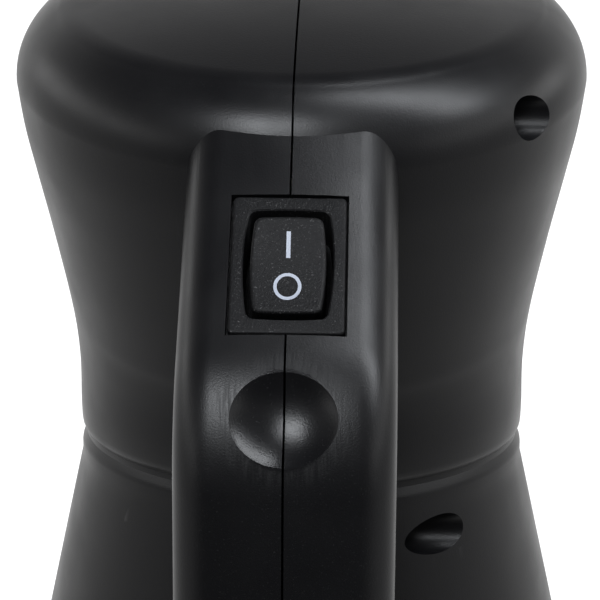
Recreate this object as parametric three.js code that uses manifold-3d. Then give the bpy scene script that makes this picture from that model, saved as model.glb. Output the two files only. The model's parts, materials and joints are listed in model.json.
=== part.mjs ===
// Hand-held electric can opener with a bell-shaped motor housing and a D handle.
// Millimetres, +Z up. Every piece is laid out round the motor's axis, and the last lines move
// the whole object so that the origin is the middle of its footprint, on the ground.
// The handle is towards -Y, the can goes in under the +Y side, the lever is on the -X side.

import * as THREE from 'three';
import { mergeVertices } from 'three/addons/utils/BufferGeometryUtils.js';
import Module from 'manifold-3d';

const wasm = await Module();
wasm.setup();

// ---------------------------------------------------------------- driving dimensions

const HEIGHT = 184;                 // feet to the top of the crown
const WALL = 2.6;                   // moulded housing wall
const SEAM_GAP = 0.3;               // line between the two half shells
const GAP = 0.3;                    // clearance round a seated piece
const RUNNING = 0.08;               // radial clearance of a turning piece

const DOME_EDGE_RADIUS = 35.8;      // where the flat crown turns into the shoulder
const DOME_RISE = 4;
const SHOULDER = { centre: 30, reach: 13, drop: 11.9, height: 169.2 };
const WAIST_RADIUS = 35.5;
const GROOVE_RADIUS = 34.7;
const GROOVE_HEIGHT = 107.6;
const GROOVE_TILT = THREE.MathUtils.degToRad(11);
const SKIRT_TOP = 104.2;
const SKIRT_RADIUS = 35.6;
const SKIRT_SPREAD = { side: 0.224, front: 0.04, back: 0.12 };
const RIM_HEIGHT = 1.2;             // the feet hold the rim this far up
const BODY_SEGMENTS = 28;

const HANDLE_WIDTH = 28.8;
const HANDLE_DEPTH = 23;
const HANDLE_CORNER = 5.6;
const HANDLE_CROWN = 0.4;           // how far the middle of the outer face stands out
const HANDLE_START = new THREE.Vector2(37.8, 176.4);   // distance in front of the axis, height
const SWITCH_SLOPE = THREE.MathUtils.degToRad(33);
const GRIP_SLOPE = THREE.MathUtils.degToRad(79);
const BRIDGE_SLOPE = Math.PI;
const HANDLE_PATH = { top: 36.8, knee: 26, grip: 70, heel: 28, bridge: 30 };

const SWITCH_ALONG = 24.7;          // from the start of the handle to the switch centre
const BEZEL = { width: 15, length: 21, thickness: 1.6, proud: 0.25 };
const WELL = { width: 11.4, length: 16.3 };
const SWITCH_BODY = { width: 12.8, length: 18.6, depth: 11 };
const PADDLE = { width: 9.7, length: 14.4, waist: 0.5, bottom: -5.4, top: 1.9 };
const SCOOP = { radius: 46, floor: 0.7 };             // the hollow across the top of the rocker
const ROCKER_PIVOT_DEPTH = 3.2;     // below the handle face
const ROCKER_REST_TILT = THREE.MathUtils.degToRad(8); // off: the lower end is pressed
const DIMPLE = { radius: 6.65, depth: 1.9, along: 46.8 };

const BORE_RADIUS = 3.2;
const HOUSING_SCREWS = [            // distance along Y, height, head seat along X
  { y: -26.6, z: 171.5, seat: 9, boss: 4.6 },
  { y: -28.8, z: 104.6, seat: 9, boss: 4.3 },
  { y: -83, z: 60, seat: 5, boss: 4.8 },
  { y: 31, z: 158, seat: 9, boss: 4.6 },
];

const GEARS = {
  motor: { teeth: 12, module: 0.6 },
  firstWheel: { teeth: 42, module: 0.6 },
  firstPinion: { teeth: 12, module: 0.9 },
  secondWheel: { teeth: 32, module: 0.9 },
  secondPinion: { teeth: 12, module: 1.25 },
  output: { teeth: 28, module: 1.25 },
};
const MESH_EASE = 0.1;              // added to each centre distance
const AXLE_RADIUS = 2;
const SHAFT_RADIUS = 3;
const MOTOR_RADIUS = 23;
const MOTOR_BOTTOM = 100.3;

const DRIVE_WHEEL_RADIUS = 9;
const CUTTER_RADIUS = 8;
const RIM_NIP = 0.4;                // between the drive wheel and the cutter at rest
const ARM_LENGTH = 26;
const HEAD_PLATE = { bottom: 24, top: 26 };
const MAGNET_Y = 32;

// ---------------------------------------------------------------- materials

function material(color, roughness, metalness) {
  return new THREE.MeshStandardMaterial({ color, roughness, metalness });
}

const BLACK_PLASTIC = material(0x1b1b1e, 0.48, 0);
const SWITCH_PLASTIC = material(0x202022, 0.6, 0);
const NYLON = material(0xe6e2d4, 0.5, 0);
const STEEL = material(0xb9bcc0, 0.3, 1);
const ZINC = material(0xa8aaa6, 0.42, 1);
const LAMINATION = material(0x5a5c60, 0.55, 1);
const COPPER = material(0xb4663a, 0.35, 1);
const BRASS = material(0xc8a656, 0.32, 1);
const BRONZE = material(0x9a7340, 0.45, 1);
const CARBON = material(0x2a2a2c, 0.8, 0);
const RUBBER = material(0x161616, 0.85, 0);
const MAGNET = material(0x3a3a3e, 0.7, 0.2);
const WIRE = material(0x6e2020, 0.5, 0);
const BOARD = material(0x1f5a35, 0.5, 0);

// ---------------------------------------------------------------- shape helpers

const model = new THREE.Group();

function addPiece(name, geometry, pieceMaterial) {
  const mesh = new THREE.Mesh(geometry, pieceMaterial);
  mesh.name = name;
  model.add(mesh);
  return mesh;
}

function solid(geometry) {
  const bare = geometry.clone();
  bare.deleteAttribute('normal');
  bare.deleteAttribute('uv');
  const merged = mergeVertices(bare, 1e-4);
  return new wasm.Manifold(new wasm.Mesh({
    numProp: 3,
    vertProperties: new Float32Array(merged.attributes.position.array),
    triVerts: new Uint32Array(merged.index.array),
  }));
}

function geometryOf(body) {
  const mesh = body.getMesh();
  const geometry = new THREE.BufferGeometry();
  geometry.setAttribute('position', new THREE.BufferAttribute(mesh.vertProperties, 3));
  geometry.setIndex(new THREE.BufferAttribute(mesh.triVerts, 1));
  geometry.computeVertexNormals();
  return geometry;
}

function join(...bodies) {
  return bodies.reduce((sum, body) => sum.add(body));
}

function cut(body, ...tools) {
  return tools.reduce((rest, tool) => rest.subtract(tool), body);
}

// An upright cylinder from one height to another.
function column(radius, bottom, top, x = 0, y = 0, segments = 16) {
  const geometry = new THREE.CylinderGeometry(radius, radius, top - bottom, segments);
  geometry.rotateX(Math.PI / 2);
  geometry.translate(x, y, (bottom + top) / 2);
  return solid(geometry);
}

// A cylinder along X.
function crossColumn(radius, left, right, y, z, segments = 16) {
  const geometry = new THREE.CylinderGeometry(radius, radius, right - left, segments);
  geometry.rotateZ(Math.PI / 2);
  geometry.translate((left + right) / 2, y, z);
  return solid(geometry);
}

function block(low, high) {
  const size = high.map((value, i) => value - low[i]);
  const geometry = new THREE.BoxGeometry(...size);
  geometry.translate(...low.map((value, i) => value + size[i] / 2));
  return solid(geometry);
}

function ringColumn(outer, inner, bottom, top, x = 0, y = 0, segments = 16) {
  return cut(column(outer, bottom, top, x, y, segments),
    column(inner, bottom - 1, top + 1, x, y, segments));
}

// A flat outline in the XY plane, raised from one height to another.
function plate(shape, bottom, top, curveSegments = 8) {
  const geometry = new THREE.ExtrudeGeometry(shape, {
    depth: top - bottom, bevelEnabled: false, curveSegments,
  });
  geometry.translate(0, 0, bottom);
  return solid(geometry);
}

// A closed skin through a list of rings with equal numbers of points.
function loft(rings, startTip, endTip) {
  const count = rings[0].length;
  const tips = [startTip ?? middle(rings[0]), endTip ?? middle(rings.at(-1))];
  const points = [...rings.flat(), ...tips];
  const startIndex = rings.length * count;
  const faces = [];
  for (let k = 0; k < count; k += 1) {
    const next = (k + 1) % count;
    faces.push(startIndex, next, k);
    for (let i = 0; i + 1 < rings.length; i += 1) {
      const a = i * count;
      const b = a + count;
      faces.push(a + k, a + next, b + next, a + k, b + next, b + k);
    }
    const last = (rings.length - 1) * count;
    faces.push(startIndex + 1, last + k, last + next);
  }
  const geometry = new THREE.BufferGeometry().setFromPoints(points);
  geometry.setIndex(faces);
  const body = solid(geometry);
  if (body.volume() > 0) return body;
  geometry.setIndex(faces.reverse());
  return solid(geometry);
}

function middle(ring) {
  return ring.reduce((sum, p) => sum.add(p), new THREE.Vector3()).divideScalar(ring.length);
}

// ---------------------------------------------------------------- bell-shaped body

const WIDEST_RADIUS = SHOULDER.centre + SHOULDER.reach;

// Outline of the upper body below its widest level: radius, height.
const NECK = [
  [WIDEST_RADIUS, SHOULDER.height], [42.2, 162.7], [40.8, 155.6], [38.4, 143.9],
  [36.2, 131.5], [35.4, 122], [WAIST_RADIUS, 114],
];

function domeHeight(radius) {
  const sphere = (DOME_EDGE_RADIUS ** 2 + DOME_RISE ** 2) / (2 * DOME_RISE);
  return HEIGHT - sphere + Math.sqrt(sphere ** 2 - radius ** 2);
}

function tiltAt(height) {
  const span = height > GROOVE_HEIGHT ? 24 : 44;
  const away = Math.abs(height - GROOVE_HEIGHT) / span;
  return Math.tan(GROOVE_TILT) * Math.max(0, 1 - away ** 2);
}

function roundLevel(radius, height) {
  return { side: radius, front: radius, back: radius, height, tilt: tiltAt(height) };
}

function skirtLevel(height) {
  const down = SKIRT_TOP - height;
  return {
    side: SKIRT_RADIUS + down * SKIRT_SPREAD.side,
    front: SKIRT_RADIUS + down * SKIRT_SPREAD.front,
    back: SKIRT_RADIUS + down * SKIRT_SPREAD.back,
    height,
    tilt: tiltAt(height),
  };
}

function bodyRing(level, inset = 0) {
  const ring = [];
  for (let k = 0; k < BODY_SEGMENTS; k += 1) {
    const angle = (k / BODY_SEGMENTS) * 2 * Math.PI;
    const depth = Math.sin(angle) > 0 ? level.back : level.front;
    const x = (level.side - inset) * Math.cos(angle);
    const y = (depth - inset) * Math.sin(angle);
    ring.push(new THREE.Vector3(x, y, level.height - y * level.tilt));
  }
  return ring;
}

function crownLevels() {
  const levels = [12, 24, DOME_EDGE_RADIUS].map((radius) => roundLevel(radius, domeHeight(radius)));
  const start = Math.acos((DOME_EDGE_RADIUS - SHOULDER.centre) / SHOULDER.reach);
  for (let i = 1; i < 6; i += 1) {
    const angle = start * (1 - i / 6);
    const radius = SHOULDER.centre + SHOULDER.reach * Math.cos(angle);
    levels.push(roundLevel(radius, SHOULDER.height + SHOULDER.drop * Math.sin(angle)));
  }
  return levels;
}

function neckLevels() {
  const curve = new THREE.SplineCurve(NECK.map(([radius, height]) => new THREE.Vector2(radius, height)));
  return curve.getPoints(7).map((p) => roundLevel(p.x, p.y));
}

const GROOVE_LEVELS = [
  [35.4, 110], [GROOVE_RADIUS, 109.1], [GROOVE_RADIUS, 108.5], [SKIRT_RADIUS, SKIRT_TOP],
].map(([radius, height]) => roundLevel(radius, height));
const SKIRT_LEVELS = [92, 76, 58, 40, 20, RIM_HEIGHT].map(skirtLevel);

function outerBody() {
  const levels = [...crownLevels(), ...neckLevels(), ...GROOVE_LEVELS, ...SKIRT_LEVELS];
  return loft(levels.map((level) => bodyRing(level)), new THREE.Vector3(0, 0, HEIGHT));
}

function innerBody() {
  const crown = crownLevels().filter((level) => level.side > DOME_EDGE_RADIUS);
  const top = roundLevel(DOME_EDGE_RADIUS - 1, domeHeight(DOME_EDGE_RADIUS) - WALL);
  const groove = roundLevel(GROOVE_RADIUS, GROOVE_HEIGHT);
  const skirt = [92, 76, 58, 40, 20, -4].map(skirtLevel);
  const rings = [bodyRing(top, WALL)];
  crown.forEach((level) => rings.push(bodyRing({ ...level, height: level.height - WALL / 2 }, WALL)));
  neckLevels().forEach((level) => rings.push(bodyRing(level, WALL)));
  rings.push(bodyRing(groove, WALL));
  skirt.forEach((level) => rings.push(bodyRing(level, WALL)));
  return loft(rings, new THREE.Vector3(0, 0, HEIGHT - WALL));
}

// ---------------------------------------------------------------- handle

// The outer face of the handle as seen from the side: three straights and two bends.
// A frame holds a point on the face, the direction along it and the slope.
function handleFrame(distance) {
  const pieces = [
    { length: HANDLE_PATH.top, turn: 0, radius: 0 },
    { length: HANDLE_PATH.knee * (GRIP_SLOPE - SWITCH_SLOPE), turn: 1, radius: HANDLE_PATH.knee },
    { length: HANDLE_PATH.grip, turn: 0, radius: 0 },
    { length: HANDLE_PATH.heel * (BRIDGE_SLOPE - GRIP_SLOPE), turn: 1, radius: HANDLE_PATH.heel },
    { length: HANDLE_PATH.bridge, turn: 0, radius: 0 },
  ];
  const point = HANDLE_START.clone();
  let slope = SWITCH_SLOPE;
  let left = distance;
  for (const piece of pieces) {
    const step = Math.min(left, piece.length);
    if (piece.turn) {
      const end = slope + step / piece.radius;
      point.x += piece.radius * (Math.sin(end) - Math.sin(slope));
      point.y += piece.radius * (Math.cos(end) - Math.cos(slope));
      slope = end;
    } else {
      point.x += step * Math.cos(slope);
      point.y -= step * Math.sin(slope);
    }
    left -= step;
    if (left <= 0) break;
  }
  return { point, slope };
}

// Places local X, outward and downhill axes on the handle face.
function faceMatrix(distance) {
  const { point, slope } = handleFrame(distance);
  const across = new THREE.Vector3(1, 0, 0);
  const along = new THREE.Vector3(0, -Math.cos(slope), -Math.sin(slope));
  const outward = new THREE.Vector3(0, -Math.sin(slope), Math.cos(slope));
  const matrix = new THREE.Matrix4().makeBasis(across, along.clone().negate(), outward);
  return matrix.setPosition(0, -point.x, point.y);
}

function handleRing(distance, inset) {
  const matrix = faceMatrix(distance);
  const half = HANDLE_WIDTH / 2 - inset;
  const corner = HANDLE_CORNER - inset * 0.6;
  const front = -inset;
  const back = inset - HANDLE_DEPTH;
  const lean = Math.atan((2 * HANDLE_CROWN) / (half - corner));
  const right = Math.PI / 2;
  const corners = [           // centre of the corner arc, then its first and last angle
    [half - corner, front - corner, 0, right - lean], [corner - half, front - corner, right + lean, 2 * right],
    [corner - half, back + corner, 2 * right, 3 * right], [half - corner, back + corner, 3 * right, 4 * right],
  ];
  const ring = [];
  for (const [x, z, start, end] of corners) {
    for (let i = 0; i <= 3; i += 1) {
      const angle = start + (i / 3) * (end - start);
      const local = new THREE.Vector3(x + corner * Math.cos(angle), 0, z + corner * Math.sin(angle));
      ring.push(local.applyMatrix4(matrix));
    }
    if (start === 0) ring.push(new THREE.Vector3(0, 0, front + HANDLE_CROWN).applyMatrix4(matrix));
  }
  return ring;
}

function handleSolid(inset) {
  const kneeLength = HANDLE_PATH.knee * (GRIP_SLOPE - SWITCH_SLOPE);
  const heelLength = HANDLE_PATH.heel * (BRIDGE_SLOPE - GRIP_SLOPE);
  const stations = [inset > 0 ? -4 : 0];
  for (let i = 0; i <= 6; i += 1) stations.push(HANDLE_PATH.top + (kneeLength * i) / 6);
  const heelStart = HANDLE_PATH.top + kneeLength + HANDLE_PATH.grip;
  for (let i = 0; i <= 9; i += 1) stations.push(heelStart + (heelLength * i) / 9);
  stations.push(heelStart + heelLength + HANDLE_PATH.bridge);
  return loft(stations.map((distance) => handleRing(distance, inset)));
}

// A tool or piece built flat on the handle face, then put in place.
function onFace(body, distance) {
  const geometry = geometryOf(body);
  geometry.applyMatrix4(faceMatrix(distance));
  return solid(geometry);
}

function dimpleTool() {
  const { radius, depth, along } = DIMPLE;
  const sphere = (radius ** 2 + depth ** 2) / (2 * depth);
  const ball = new THREE.SphereGeometry(sphere, 24, 32);
  ball.translate(0, 0, sphere - depth);
  return onFace(solid(ball), along);
}

// ---------------------------------------------------------------- housing shells

const DRIVE = gearCentres();
const NIP_Y = DRIVE.output.y - DRIVE_WHEEL_RADIUS;
const CUTTER_Y = NIP_Y - RIM_NIP - CUTTER_RADIUS;
const GLAND = { y: 35.5, z: 120, radius: 6 };

function gearCentres() {
  const distance = (a, b) => (a.teeth * a.module + b.teeth * b.module) / 2 + MESH_EASE;
  const first = new THREE.Vector2(distance(GEARS.motor, GEARS.firstWheel), 0);
  const secondTurn = THREE.MathUtils.degToRad(215);
  const reach = distance(GEARS.firstPinion, GEARS.secondWheel);
  const second = first.clone().add(
    new THREE.Vector2(Math.cos(secondTurn), Math.sin(secondTurn)).multiplyScalar(reach));
  const last = distance(GEARS.secondPinion, GEARS.output);
  const output = new THREE.Vector2(0, second.y + Math.sqrt(last ** 2 - second.x ** 2));
  return { first, second, output };
}

// A flat ledge round the inside of the wall.
function ledge(bottom, top, width) {
  const level = skirtLevel((bottom + top) / 2);
  const rim = new THREE.Shape(bodyRing(level, 0.5).map((p) => new THREE.Vector2(p.x, p.y)));
  rim.holes.push(new THREE.Path(bodyRing(level, width).map((p) => new THREE.Vector2(p.x, p.y))));
  return plate(rim, bottom, top);
}

function canArch() {
  return column(54, -2, 22, 0, 56, 48);
}

function footPlaces() {
  return [[-47, 8], [47, 8], [-30, -28], [30, -28]];
}

function shells() {
  let body = join(outerBody(), handleSolid(0));
  body = cut(body, innerBody(), handleSolid(WALL));
  const gearLedge = cut(ledge(62.5, 65.7, 8), column(29.5, 60, 70));
  body = join(body, gearLedge, ledge(26.4, 29.4, 9), ledge(RIM_HEIGHT, 6.2, 13));
  for (const [x, y] of footPlaces()) body = cut(body, column(3.9, 0, 3.2, x, y));
  const bosses = HOUSING_SCREWS.map(({ y, z, boss }) => crossColumn(boss, -46, 46, y, z));
  const envelope = join(outerBody(), handleSolid(0));
  body = join(body, ...bosses.map((boss) => boss.intersect(envelope)));
  const { width, length, thickness, proud } = BEZEL;
  const pocket = block([-width / 2 - GAP, -length / 2 - GAP, proud - thickness - 0.1],
    [width / 2 + GAP, length / 2 + GAP, 4]);
  const opening = block([-SWITCH_BODY.width / 2 - GAP, -SWITCH_BODY.length / 2 - GAP, -7],
    [SWITCH_BODY.width / 2 + GAP, SWITCH_BODY.length / 2 + GAP, 1]);
  body = cut(body, onFace(join(pocket, opening), SWITCH_ALONG));
  body = cut(join(body, dimplePad().intersect(envelope)), dimpleTool());
  body = cut(body, canArch(), leverWindow(), glandHole());
  const screwHoles = HOUSING_SCREWS.map(({ y, z, seat }) => join(
    crossColumn(BORE_RADIUS, seat, 60, y, z), crossColumn(1.9, -8, seat + 1, y, z)));
  body = cut(body, ...screwHoles);
  for (const { x, y } of headScrewPlaces()) body = cut(body, column(1.8, 25, 31, x, y, 16));
  const right = block([SEAM_GAP / 2, -150, -10], [100, 100, 200]);
  const left = block([-100, -150, -10], [-SEAM_GAP / 2, 100, 200]);
  addPiece('housing_right', geometryOf(body.intersect(right)), BLACK_PLASTIC);
  addPiece('housing_left', geometryOf(body.intersect(left)), BLACK_PLASTIC);
}

// Extra wall behind the thumb dimple.
function dimplePad() {
  const pad = block([-8, -8, -DIMPLE.depth - WALL], [8, 8, -1]);
  return onFace(pad, DIMPLE.along);
}

// The lever comes out through a slot in the skirt.
function leverWindow() {
  return block([-64, CUTTER_Y - 7, 19.6], [-44, CUTTER_Y + 22, 24.6]);
}

// Hole for the cord gland at the back of the waist.
function glandHole() {
  const hole = new THREE.CylinderGeometry(GLAND.radius + GAP, GLAND.radius + GAP, 16, 24);
  hole.translate(0, GLAND.y, GLAND.z);
  return solid(hole);
}

// ---------------------------------------------------------------- rocker switch

function barrelShape(width, length, waist) {
  const shape = new THREE.Shape();
  const w = width / 2;
  const l = length / 2;
  shape.moveTo(-w + waist, -l);
  shape.quadraticCurveTo(0, -l - waist / 2, w - waist, -l);
  shape.quadraticCurveTo(w + waist, 0, w - waist, l);
  shape.quadraticCurveTo(0, l + waist / 2, -w + waist, l);
  shape.quadraticCurveTo(-w - waist, 0, -w + waist, -l);
  return shape;
}

function rockerSwitch() {
  const { width, length, thickness, proud } = BEZEL;
  const flange = block([-width / 2, -length / 2, proud - thickness], [width / 2, length / 2, proud]);
  const bodyBox = block([-SWITCH_BODY.width / 2, -SWITCH_BODY.length / 2, -SWITCH_BODY.depth],
    [SWITCH_BODY.width / 2, SWITCH_BODY.length / 2, proud - thickness + 0.2]);
  const well = plate(barrelShape(WELL.width, WELL.length, 0.5), -7.6, 2);
  const frame = cut(join(flange, bodyBox), well);
  addPiece('switch_frame', geometryOf(onFace(frame, SWITCH_ALONG)), SWITCH_PLASTIC);

  const paddle = plate(barrelShape(PADDLE.width, PADDLE.length, PADDLE.waist), PADDLE.bottom, PADDLE.top);
  const scoop = new THREE.CylinderGeometry(SCOOP.radius, SCOOP.radius, 40, 96);
  scoop.rotateZ(Math.PI / 2);
  scoop.translate(0, 0, SCOOP.radius + SCOOP.floor);
  const rocker = geometryOf(cut(paddle, solid(scoop)));
  rocker.translate(0, 0, ROCKER_PIVOT_DEPTH);
  rocker.rotateX(ROCKER_REST_TILT);
  rocker.translate(0, 0, -ROCKER_PIVOT_DEPTH);
  addPiece('switch_rocker', geometryOf(onFace(solid(rocker), SWITCH_ALONG)), SWITCH_PLASTIC);

  for (const [name, y] of [['switch_terminal_line', -4.5], ['switch_terminal_load', 4.5]]) {
    const blade = block([-2.4, y - 0.4, -16.4], [2.4, y + 0.4, -SWITCH_BODY.depth - GAP]);
    addPiece(name, geometryOf(onFace(blade, SWITCH_ALONG)), BRASS);
  }
}

// ---------------------------------------------------------------- motor

function motor() {
  const top = 150;
  const can = cut(column(MOTOR_RADIUS, MOTOR_BOTTOM, top, 0, 0, 28),
    column(MOTOR_RADIUS - 1.6, MOTOR_BOTTOM + 1.6, top + 1, 0, 0, 28),
    column(6, MOTOR_BOTTOM - 1, MOTOR_BOTTOM + 3));
  addPiece('motor_can', geometryOf(can), ZINC);

  for (const [name, side] of [['field_magnet_right', 1], ['field_magnet_left', -1]]) {
    const arc = new THREE.Shape();
    const half = THREE.MathUtils.degToRad(62);
    arc.absarc(0, 0, 21, -half, half, false);
    arc.absarc(0, 0, 16.8, half, -half, true);
    const magnet = geometryOf(plate(arc, 106, 140));
    if (side < 0) magnet.rotateZ(Math.PI);
    addPiece(name, magnet, MAGNET);
  }
  addPiece('rectifier_board', geometryOf(block([-10, 25.3, 132], [10, 26.9, 150])), BOARD);

  const endCap = cut(column(MOTOR_RADIUS, top + GAP, top + 3.3, 0, 0, 28), column(6, top, top + 5));
  addPiece('motor_end_cap', geometryOf(endCap), NYLON);
  for (const [name, bottom] of [['bearing_bottom', MOTOR_BOTTOM], ['bearing_top', top + GAP]]) {
    addPiece(name, geometryOf(ringColumn(5.6, AXLE_RADIUS + RUNNING, bottom, bottom + 3.2)), STEEL);
  }
  for (const [name, side] of [['brush_right', 1], ['brush_left', -1]]) {
    const x = [6.2 * side, 12 * side].sort((a, b) => a - b);
    addPiece(name, geometryOf(block([x[0], -2.5, 142.5], [x[1], 2.5, 147.5])), CARBON);
  }

  addPiece('rotor_shaft', geometryOf(column(AXLE_RADIUS, 87.8, 165)), STEEL);
  addPiece('armature_core', geometryOf(armature()), LAMINATION);
  addPiece('commutator', geometryOf(ringColumn(5.6, AXLE_RADIUS + GAP, 141, 149)), COPPER);
  addPiece('cooling_fan', geometryOf(fan()), NYLON);
}

function armature() {
  const slots = 8;
  const radius = 15.8;
  let core = ringColumn(radius, AXLE_RADIUS + GAP, 108.5, 137.5, 0, 0, 40);
  for (let i = 0; i < slots; i += 1) {
    const slot = new THREE.BoxGeometry(6, 2.4, 40);
    slot.translate(radius - 1, 0, 123);
    slot.rotateZ((i / slots) * 2 * Math.PI);
    core = cut(core, solid(slot));
  }
  return core;
}

function fan() {
  let rotor = column(5, 155.4, 163.6);
  for (let i = 0; i < 7; i += 1) {
    const blade = new THREE.BoxGeometry(15, 1.4, 5.6);
    blade.rotateX(0.5);
    blade.translate(11.5, 0, 159.2);
    blade.rotateZ((i / 7) * 2 * Math.PI);
    rotor = join(rotor, solid(blade));
  }
  return cut(rotor, column(AXLE_RADIUS + GAP, 150, 170));
}

// ---------------------------------------------------------------- gear train

const PRESSURE_ANGLE = THREE.MathUtils.degToRad(20);
const TOOTH_THINNING = 0.84;

function involute(angle) {
  return Math.tan(angle) - angle;
}

// Outline of a spur gear; one tooth points along +X when turn is 0.
function gearShape({ teeth, module }, turn) {
  const pitch = (teeth * module) / 2;
  const base = pitch * Math.cos(PRESSURE_ANGLE);
  const tip = pitch + 0.8 * module;
  const root = pitch - 1.1 * module;
  const halfTooth = (radius) => {
    const angle = Math.acos(Math.min(1, base / radius));
    return (Math.PI / (2 * teeth)) * TOOTH_THINNING + involute(PRESSURE_ANGLE) - involute(angle);
  };
  const radii = [root, pitch, tip];
  const points = [];
  for (let tooth = 0; tooth < teeth; tooth += 1) {
    const centre = turn + (tooth / teeth) * 2 * Math.PI;
    const at = (radius, angle) => points.push(
      new THREE.Vector2(radius * Math.cos(centre + angle), radius * Math.sin(centre + angle)));
    radii.forEach((radius) => at(radius, -halfTooth(radius)));
    [...radii].reverse().forEach((radius) => at(radius, halfTooth(radius)));
  }
  const unique = points.filter((p, i) => p.distanceTo(points.at(i - 1)) > 1e-3);
  return new THREE.Shape(unique);
}

function gearBody(gear, centre, bottom, top, turn) {
  const geometry = geometryOf(plate(gearShape(gear, turn), bottom, top));
  geometry.translate(centre.x, centre.y, 0);
  return solid(geometry);
}

// Turn of a driven gear so that a gap of it faces a tooth of its driver.
function meshTurn(driver, driverTurn, driven, direction) {
  const phase = ((direction - driverTurn) * driver.teeth) / (2 * Math.PI);
  const facing = direction + Math.PI;
  return facing - ((0.5 - phase) / driven.teeth) * 2 * Math.PI;
}

function gearTrain() {
  const { first, second, output } = DRIVE;
  const origin = new THREE.Vector2(0, 0);
  const heading = (from, to) => Math.atan2(to.y - from.y, to.x - from.x);
  const bore = (radius, x, y) => column(radius + RUNNING, 60, 100, x, y);

  const pinion = cut(gearBody(GEARS.motor, origin, 88, 96, 0), column(AXLE_RADIUS + 0.2, 80, 99));
  addPiece('motor_pinion', geometryOf(pinion), BRASS);

  const firstTurn = meshTurn(GEARS.motor, 0, GEARS.firstWheel, heading(origin, first));
  const firstGear = join(gearBody(GEARS.firstWheel, first, 89.4, 94.6, firstTurn),
    gearBody(GEARS.firstPinion, first, 79.5, 90, 0));
  addPiece('first_gear', geometryOf(cut(firstGear, bore(AXLE_RADIUS, first.x, first.y))), NYLON);
  const secondTurn = meshTurn(GEARS.firstPinion, 0, GEARS.secondWheel, heading(first, second));
  const secondGear = join(gearBody(GEARS.secondWheel, second, 81, 87.4, secondTurn),
    gearBody(GEARS.secondPinion, second, 70, 82, 0));
  addPiece('second_gear', geometryOf(cut(secondGear, bore(AXLE_RADIUS, second.x, second.y))), NYLON);
  const outputTurn = meshTurn(GEARS.secondPinion, 0, GEARS.output, heading(second, output));
  const outputGear = cut(gearBody(GEARS.output, output, 71, 78.6, outputTurn),
    column(SHAFT_RADIUS + GAP, 60, 90, output.x, output.y));
  addPiece('output_gear', geometryOf(outputGear), STEEL);

  for (const [name, at] of [['first_gear_axle', first], ['second_gear_axle', second]]) {
    addPiece(name, geometryOf(column(AXLE_RADIUS, 66.2, 99.8, at.x, at.y)), STEEL);
  }
  addPiece('output_shaft', geometryOf(column(SHAFT_RADIUS, 13, 99.7, output.x, output.y)), STEEL);
  gearPlates(first, second, output);
}

function spacerPlaces() {
  return [[-27, 0], [20.7, -17.4], [20.5, 20.5]];
}

function gearPlates(first, second, output) {
  const levels = [['lower_gear_plate', 66], ['upper_gear_plate', 98]];
  for (const [name, bottom] of levels) {
    let body = column(31.2, bottom, bottom + 2, 0, 0, 40);
    for (const at of [first, second]) {
      body = cut(body, column(AXLE_RADIUS + GAP, bottom - 1, bottom + 3, at.x, at.y));
    }
    const shaftHole = bottom < 80 ? 5.3 : SHAFT_RADIUS + GAP;
    body = cut(body, column(shaftHole, bottom - 1, bottom + 3, output.x, output.y));
    if (bottom > 80) body = cut(body, column(6, bottom - 1, bottom + 3));
    addPiece(name, geometryOf(body), ZINC);
  }
  spacerPlaces().forEach(([x, y], i) => {
    addPiece(`plate_spacer_${i + 1}`, geometryOf(column(2.6, 68.3, 97.7, x, y, 16)), ZINC);
  });
  const bush = ringColumn(5, SHAFT_RADIUS + RUNNING, 65.8, 69.4, output.x, output.y);
  addPiece('output_bush_upper', geometryOf(bush), BRONZE);
  const lowerBush = ringColumn(5, SHAFT_RADIUS + RUNNING, 23.9, 29, output.x, output.y);
  addPiece('output_bush_lower', geometryOf(lowerBush), BRONZE);
}

// ---------------------------------------------------------------- cutting head

function headScrewPlaces() {
  return [{ x: -38, y: 20 }, { x: 38, y: 20 }, { x: 30, y: -24 }];
}

function cuttingHead() {
  const { output } = DRIVE;
  const pivot = { x: -ARM_LENGTH, y: CUTTER_Y };
  const level = skirtLevel(25);
  const outline = new THREE.Shape(bodyRing(level, WALL + 0.8).map((p) => new THREE.Vector2(p.x, p.y)));
  let head = plate(outline, HEAD_PLATE.bottom, HEAD_PLATE.top);
  head = cut(head, column(5.3, 20, 30, output.x, output.y),
    column(SHAFT_RADIUS + GAP, 20, 30, pivot.x, pivot.y), column(2.1, 20, 30, 0, MAGNET_Y));
  for (const { x, y } of headScrewPlaces()) head = cut(head, column(1.9, 20, 30, x, y, 16));
  addPiece('head_plate', geometryOf(head), STEEL);

  headScrewPlaces().forEach(({ x, y }, i) => {
    const screw = join(column(3, 21.9, 23.7, x, y, 16), column(1.5, 23, 29, x, y, 16));
    addPiece(`head_screw_${i + 1}`, geometryOf(screw), STEEL);
  });

  let wheel = column(DRIVE_WHEEL_RADIUS, 16.5, 23.4, output.x, output.y, 48);
  const teeth = 24;
  for (let i = 0; i < teeth; i += 1) {
    const notch = new THREE.BoxGeometry(0.9, 0.9, 10);
    notch.rotateZ(Math.PI / 4);
    notch.translate(DRIVE_WHEEL_RADIUS, 0, 20);
    notch.rotateZ(((i + 0.5) / teeth) * 2 * Math.PI);
    notch.translate(output.x, output.y, 0);
    wheel = cut(wheel, solid(notch));
  }
  wheel = cut(wheel, column(SHAFT_RADIUS + GAP, 10, 30, output.x, output.y));
  addPiece('drive_wheel', geometryOf(wheel), STEEL);
  const nut = cut(column(5.4, 13.6, 16.2, output.x, output.y, 6),
    column(SHAFT_RADIUS + GAP, 10, 20, output.x, output.y));
  addPiece('drive_nut', geometryOf(nut), STEEL);

  cutterArm(pivot);
  for (const [name, side] of [['guide_post_left', -1], ['guide_post_right', 1]]) {
    addPiece(name, geometryOf(column(2.5, 12, 23.7, side * 24, NIP_Y + 5, 20)), STEEL);
  }
  lidMagnet();
}

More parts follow.
